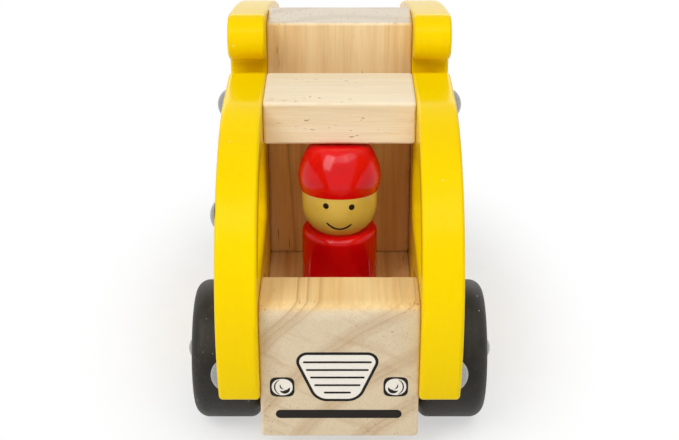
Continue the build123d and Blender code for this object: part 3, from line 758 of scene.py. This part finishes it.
# %% Eyes and smile
EYES = ((-5.5, CHIN_MM + 14.8), (4.9, CHIN_MM + 14.4))   # one is a little higher, as the head tilts
EYE_RADIUS, EYE_RISE = 1.35, 0.15
SMILE_X, SMILE_Z, SMILE_HALF = -0.2, CHIN_MM + 7.2, 5.1
SMILE_SAG, SMILE_TILT, SMILE_WIDTH, SMILE_LIFT = 2.6, 0.3, 0.95, 0.12
BROWN_BLACK = ("#17120D", "#1E1811")

face_ink = lacquer("black_face_lacquer", BROWN_BLACK, BROWN_BLACK, 81.0)
left_eye, right_eye = (drop(x, z, EYE_RADIUS, EYE_RISE) for x, z in EYES)
shifted = [[i + len(left_eye[0]) for i in face] for face in right_eye[1]]
add_piece("eyes", np.vstack([left_eye[0], right_eye[0]]), left_eye[1] + shifted, "driver", face_ink,
          "painted_head", smooth=True)
share = np.linspace(-1, 1, 41)
smile_z = SMILE_Z - SMILE_TILT * share - SMILE_SAG * (1 - share ** 2)   # a parabola between two corners
smile = brush_line(SMILE_X + SMILE_HALF * share, smile_z, SMILE_WIDTH, SMILE_LIFT)
add_piece("smile", *smile, "driver", face_ink, "painted_head", smooth=True)
print("two eyes and a smile,", round(2 * SMILE_HALF, 1), "mm wide")

# %% [markdown]
# ## Light, floor and camera
#
# Toys are shown in a white tent: light comes from everywhere, a little more from above and in
# front. Here a pale sky gives the general light. Three soft windows above and in front give the
# form, and a low wide one behind draws the pale shine on the upper faces. The sky is white for
# the camera and in reflections, and dimmer for the light that it gives, so that no colour bleaches.

# %% Sky
AMBIENT = 0.36


def seen(tree):
    """1 for what the camera sees, straight on or through gloss and glass, and 0 for light on surfaces."""
    rays = add(tree, "LightPath").node.outputs
    either = add(tree, "Math", rays["Is Camera Ray"], rays["Is Glossy Ray"], operation="MAXIMUM")
    return add(tree, "Math", either, rays["Is Transmission Ray"], operation="MAXIMUM")


world = bpy.data.worlds.new("white_tent")
bpy.context.scene.world = world
world.use_nodes = True
sky = world.node_tree
sky.nodes.clear()
strength = add(sky, "MapRange", seen(sky), 0.0, 1.0, AMBIENT, 1.0)
add(sky, "OutputWorld", add(sky, "Background", "#FFFFFF", strength))
print("the tent lights with", AMBIENT)

# %% Windows
MIDDLE, AWAY = Vector((0, -0.03, 0.07)), 1.3
# azimuth from the front and elevation, width and height, all in degrees, and radiance
WINDOWS = {
    "left_window": (-43, 43, 25, 29, 5.4),
    "top_window": (0, 53, 45, 17, 2.4),
    "right_window": (49, 57, 33, 30, 2.1),
    "back_window": (180, 22, 60, 15, 2.7),
}


def window(name, azimuth, elevation, wide, high, radiance):
    """A softbox that looks at the toy's middle and fills wide by high degrees of its sky. A flat
    lamp of area A that looks equally bright from everywhere has radiance = watts / (pi A)."""
    a, e = math.radians(azimuth), math.radians(elevation)
    toward = Vector((math.sin(a) * math.cos(e), -math.cos(a) * math.cos(e), math.sin(e)))
    width, height = (2 * AWAY * math.tan(math.radians(angle) / 2) for angle in (wide, high))
    light = bpy.data.lights.new(name, "AREA")
    light.shape = "RECTANGLE"
    light.size = width
    light.size_y = height
    light.energy = radiance * math.pi * width * height
    lamp = bpy.data.objects.new(name, light)
    lamp.location = MIDDLE + AWAY * toward
    lamp.rotation_euler = (-toward).to_track_quat("-Z", "Y").to_euler()
    bpy.context.scene.collection.objects.link(lamp)


for name, values in WINDOWS.items():
    window(name, *values)
print(len(WINDOWS), "windows")

# %% [markdown]
# The floor is pale plain paper and keeps the shadow. Away from the toy it fades into the same
# white as the sky, so no horizon shows. The fade is a glow that only the camera and reflections
# see, so it lights nothing. It starts on an ellipse that is longer than wide, as the toy is.

# %% Floor
FLOOR_HALF = 4.0
FADE_STRETCH = (1, 0.62, 1)
FADE_NEAR_MM, FADE_FAR_MM, FADE_NEAR = 66.0, 122.0, 0.55   # the glow's share near the toy; it is 1 far out

made, tree, point = new_material("pale_paper_floor")
away = add(tree, "VectorMath", point, FADE_STRETCH, operation="MULTIPLY")
away = add(tree, "VectorMath", away, operation="LENGTH")
fibres = marks(tree, point, (16, 16, 16), 91.0, 0.3, 0.7, 3.0)
paper = add(tree, "BsdfDiffuse", add(tree, "Mix", fibres, "#F6F6F5", "#FBFBFA", data_type="RGBA"))
glow = add(tree, "Emission", "#FFFFFF", 1.0)
fade = add(tree, "MapRange", away, FADE_NEAR_MM, FADE_FAR_MM, FADE_NEAR, 1.0, interpolation_type="SMOOTHSTEP")
fade = add(tree, "Math", fade, seen(tree), operation="MULTIPLY")
add(tree, "OutputMaterial", add(tree, "MixShader", fade, paper, glow))
corners = [(x * FLOOR_HALF, y * FLOOR_HALF, 0) for x, y in ((-1, -1), (1, -1), (1, 1), (-1, 1))]
floor_mesh = bpy.data.meshes.new("floor")
floor_mesh.from_pydata(corners, [], [(0, 1, 2, 3)])
floor_mesh.materials.append(made)
floor = bpy.data.objects.new("floor", floor_mesh)
bpy.context.scene.collection.objects.link(floor)
print("floor", 2 * FLOOR_HALF, "m wide")

# %% [markdown]
# The camera looks down on the toy from the front, near enough that the nose is clearly larger than
# the bed. The view transform is Standard, so a colour on a paint card stays that colour.

# %% Camera
LOOK_DOWN = 25.97   # degrees
camera_data = bpy.data.cameras.new("camera")
camera_data.sensor_width = 36.0
camera_data.lens = 72.11
camera = bpy.data.objects.new("camera", camera_data)
camera.location = (0.0, -0.5488, 0.3137)
camera.rotation_euler = (math.radians(90 - LOOK_DOWN), 0, 0)
bpy.context.scene.collection.objects.link(camera)
bpy.context.scene.camera = camera
bpy.context.scene.view_settings.view_transform = "Standard"
print("camera looks down", LOOK_DOWN, "degrees")
